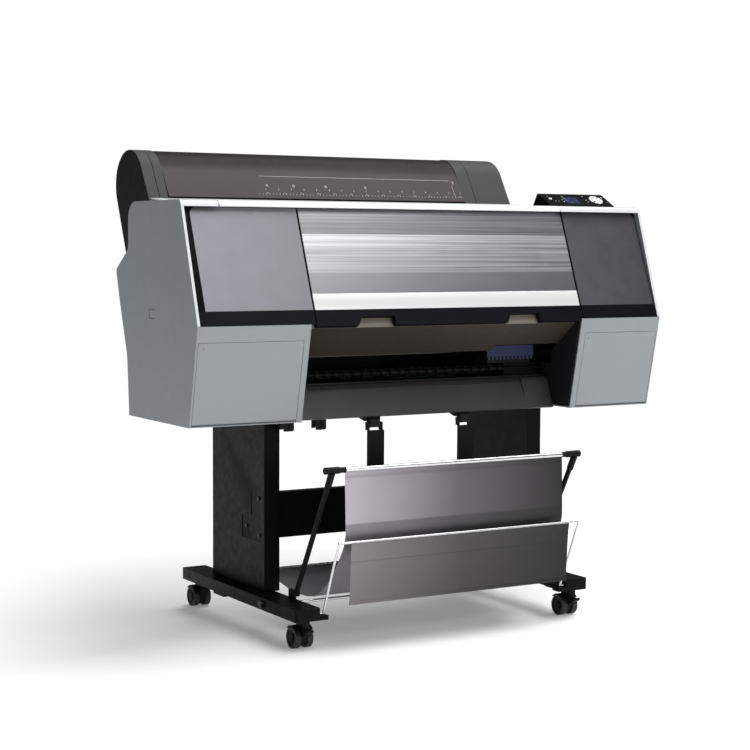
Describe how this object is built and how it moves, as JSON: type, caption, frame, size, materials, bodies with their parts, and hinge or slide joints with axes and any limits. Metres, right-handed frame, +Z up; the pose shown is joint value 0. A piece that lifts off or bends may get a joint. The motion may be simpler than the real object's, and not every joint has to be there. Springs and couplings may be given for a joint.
{
  "type": "wide-format inkjet printer",
  "caption": "Wide-format roll-fed inkjet printer on a castered stand, with a hinged front cover, ink doors, roll cover, control panel and a cloth paper basket.",
  "frame": {"origin": "on the floor, under the middle of the printer's overall box", "axes": "+X to the right as seen from the front, +Y to the back, +Z up"},
  "size_m": [1.356, 0.7523, 1.2179],
  "materials": {
    "stand_black": "satin black powder coat",
    "bolt_black": "black zinc",
    "rod_steel": "bright steel",
    "caster_black": "moulded black plastic",
    "wheel_black": "black tread",
    "basket_black": "satin black",
    "basket_cloth": "satin grey woven cloth",
    "chassis_dark": "dark sheet steel",
    "housing_grey": "fine-textured grey plastic",
    "door_grey": "fine-textured light grey plastic",
    "trim_black": "black plastic",
    "panel_metallic": "metallic grey film",
    "strip_aluminium": "brushed",
    "deck_white": "light grey plastic",
    "rear_black": "black plastic",
    "fascia_beige": "dark beige plastic",
    "guide_dark": "satin dark grey",
    "cap_dark": "satin dark grey plastic",
    "cover_smoke": "smoked plastic",
    "adapter_grey": "grey plastic",
    "console_black": "gloss black",
    "display_glass": "dark display",
    "key_silver": "silver",
    "key_white": "white",
    "mechanism_black": "black plastic",
    "belt_rubber": "toothed belt",
    "pulley_metal": "turned",
    "motor_dark": "dark",
    "roller_grey": "grit-coated grey",
    "cartridge_dark": "dark grey plastic",
    "board_green": "circuit board",
    "socket_black": "black sockets"
  },
  "bodies": {
    "printer_body": {"foot_left": "stand_black", "foot_right": "stand_black", "leg_left": "stand_black", "leg_right": "stand_black", "cross_beam": "stand_black", "stand_bolts": "bolt_black", "basket_rods": "rod_steel", "cloth_scoop": "basket_cloth", "chassis": "chassis_dark", "housing_left": "housing_grey", "housing_right": "housing_grey", "front_frame": "trim_black", "panel_left": "panel_metallic", "panel_right": "panel_metallic", "top_deck": "deck_white", "rear_cover": "rear_black", "fascia": "fascia_beige", "paper_guide": "guide_dark", "roll_caps": "cap_dark", "console": "console_black", "display": "display_glass", "carriage_rail": "rod_steel", "drive_belt": "belt_rubber", "carriage_motor": "motor_dark", "platen": "mechanism_black", "ink_cartridges": "cartridge_dark", "service_station": "mechanism_black", "electronics": "board_green", "rear_sockets": "socket_black"},
    "caster_fl": {"caster_fl": "caster_black"},
    "wheels_fl": {"wheels_fl": "wheel_black"},
    "brake_lever_fl": {"brake_lever_fl": "caster_black"},
    "caster_fr": {"caster_fr": "caster_black"},
    "wheels_fr": {"wheels_fr": "wheel_black"},
    "brake_lever_fr": {"brake_lever_fr": "caster_black"},
    "caster_rl": {"caster_rl": "caster_black"},
    "wheels_rl": {"wheels_rl": "wheel_black"},
    "caster_rr": {"caster_rr": "caster_black"},
    "wheels_rr": {"wheels_rr": "wheel_black"},
    "basket_arms": {"basket_arms": "basket_black", "cloth_upper": "basket_cloth"},
    "basket_wire": {"basket_wire": "rod_steel", "cloth_front": "basket_cloth"},
    "guide_left": {"guide_left": "basket_black"},
    "guide_right": {"guide_right": "basket_black"},
    "front_cover": {"front_cover": "trim_black", "cover_skin": "panel_metallic", "cover_strip": "strip_aluminium"},
    "ink_door_left": {"ink_door_left": "door_grey"},
    "ink_door_right": {"ink_door_right": "door_grey"},
    "roll_cover": {"roll_cover": "cover_smoke"},
    "roll_adapters": {"roll_adapters": "adapter_grey"},
    "key_power": {"key_power": "key_silver"},
    "key_ok": {"key_ok": "key_white"},
    "key_arrows": {"key_arrows": "key_white"},
    "carriage": {"carriage": "mechanism_black"},
    "drive_pulley": {"drive_pulley": "pulley_metal"},
    "idler_pulley": {"idler_pulley": "pulley_metal"},
    "feed_roller": {"feed_roller": "roller_grey"},
    "exit_roller": {"exit_roller": "roller_grey"}
  },
  "joints": [
    {"name": "caster_swivel_fl", "type": "hinge", "parent": "printer_body", "child": "caster_fl", "pos_m": [-0.3845, -0.258, 0.09], "axis": [0, 0, 1], "continuous": true},
    {"name": "wheel_spin_fl", "type": "hinge", "parent": "caster_fl", "child": "wheels_fl", "pos_m": [-0.3845, -0.236, 0.026], "axis": [1, 0, 0], "continuous": true},
    {"name": "brake_press_fl", "type": "hinge", "parent": "caster_fl", "child": "brake_lever_fl", "pos_m": [-0.3845, -0.277, 0.042], "axis": [1, 0, 0], "range_deg": [0, 20]},
    {"name": "caster_swivel_fr", "type": "hinge", "parent": "printer_body", "child": "caster_fr", "pos_m": [0.4125, -0.258, 0.09], "axis": [0, 0, 1], "continuous": true},
    {"name": "wheel_spin_fr", "type": "hinge", "parent": "caster_fr", "child": "wheels_fr", "pos_m": [0.4125, -0.236, 0.026], "axis": [1, 0, 0], "continuous": true},
    {"name": "brake_press_fr", "type": "hinge", "parent": "caster_fr", "child": "brake_lever_fr", "pos_m": [0.4125, -0.277, 0.042], "axis": [1, 0, 0], "range_deg": [0, 20]},
    {"name": "caster_swivel_rl", "type": "hinge", "parent": "printer_body", "child": "caster_rl", "pos_m": [-0.3845, 0.322, 0.09], "axis": [0, 0, 1], "continuous": true},
    {"name": "wheel_spin_rl", "type": "hinge", "parent": "caster_rl", "child": "wheels_rl", "pos_m": [-0.3845, 0.344, 0.026], "axis": [1, 0, 0], "continuous": true},
    {"name": "caster_swivel_rr", "type": "hinge", "parent": "printer_body", "child": "caster_rr", "pos_m": [0.4125, 0.322, 0.09], "axis": [0, 0, 1], "continuous": true},
    {"name": "wheel_spin_rr", "type": "hinge", "parent": "caster_rr", "child": "wheels_rr", "pos_m": [0.4125, 0.344, 0.026], "axis": [1, 0, 0], "continuous": true},
    {"name": "basket_arm_fold", "type": "hinge", "parent": "printer_body", "child": "basket_arms", "pos_m": [0, -0.166, 0.119], "axis": [-1, 0, 0], "range_deg": [0, 18]},
    {"name": "basket_wire_fold", "type": "hinge", "parent": "printer_body", "child": "basket_wire", "pos_m": [0, -0.296, 0.093], "axis": [1, 0, 0], "range_deg": [-5, 25]},
    {"name": "guide_swing_left", "type": "hinge", "parent": "printer_body", "child": "guide_left", "pos_m": [-0.135, -0.163, 0.527], "axis": [-1, 0, 0], "range_deg": [0, 12]},
    {"name": "guide_swing_right", "type": "hinge", "parent": "printer_body", "child": "guide_right", "pos_m": [0.135, -0.163, 0.527], "axis": [-1, 0, 0], "range_deg": [0, 12]},
    {"name": "front_cover_open", "type": "hinge", "parent": "printer_body", "child": "front_cover", "pos_m": [0.029, -0.17399, 1.05512], "axis": [-1, 0, 0], "range_deg": [0, 69]},
    {"name": "ink_door_open_left", "type": "hinge", "parent": "printer_body", "child": "ink_door_left", "pos_m": [-0.5345, -0.23243, 0.56241], "axis": [1, 0, 0], "range_deg": [0, 80]},
    {"name": "ink_door_open_right", "type": "hinge", "parent": "printer_body", "child": "ink_door_right", "pos_m": [0.556, -0.23243, 0.56241], "axis": [1, 0, 0], "range_deg": [0, 80]},
    {"name": "roll_cover_open", "type": "hinge", "parent": "printer_body", "child": "roll_cover", "pos_m": [-0.095, 0.3654, 1.1022], "axis": [-1, 0, 0], "range_deg": [0, 70]},
    {"name": "roll_spin", "type": "hinge", "parent": "printer_body", "child": "roll_adapters", "pos_m": [-0.095, 0.286, 1.128], "axis": [1, 0, 0], "continuous": true},
    {"name": "key_power_press", "type": "slide", "parent": "printer_body", "child": "key_power", "axis": [0, 0.5092, -0.8606], "range_m": [0, 0.0012], "stiffness_N_per_m": 400, "springref_m": -0.0008},
    {"name": "key_ok_press", "type": "slide", "parent": "printer_body", "child": "key_ok", "axis": [0, 0.5092, -0.8606], "range_m": [0, 0.0012], "stiffness_N_per_m": 400, "springref_m": -0.0008},
    {"name": "key_arrows_press", "type": "slide", "parent": "printer_body", "child": "key_arrows", "axis": [0, 0.5092, -0.8606], "range_m": [0, 0.0012], "stiffness_N_per_m": 400, "springref_m": -0.0008},
    {"name": "carriage_slide", "type": "slide", "parent": "printer_body", "child": "carriage", "axis": [1, 0, 0], "range_m": [-0.57, 0.075]},
    {"name": "drive_pulley_spin", "type": "hinge", "parent": "printer_body", "child": "drive_pulley", "pos_m": [0.6, -0.048, 0.754], "axis": [0, 0, 1], "continuous": true},
    {"name": "idler_pulley_spin", "type": "hinge", "parent": "printer_body", "child": "idler_pulley", "pos_m": [-0.6, -0.048, 0.754], "axis": [0, 0, 1], "continuous": true},
    {"name": "feed_roller_spin", "type": "hinge", "parent": "printer_body", "child": "feed_roller", "pos_m": [0.018, -0.025, 0.645], "axis": [1, 0, 0], "continuous": true},
    {"name": "exit_roller_spin", "type": "hinge", "parent": "printer_body", "child": "exit_roller", "pos_m": [-0.041, -0.117, 0.652], "axis": [1, 0, 0], "continuous": true}
  ],
  "couplings": [
    {"joint": "drive_pulley_spin", "follows": "carriage_slide", "rad_per_m": 76.628},
    {"joint": "idler_pulley_spin", "follows": "carriage_slide", "rad_per_m": 76.628},
    {"joint": "exit_roller_spin", "follows": "feed_roller_spin", "ratio": 2}
  ]
}
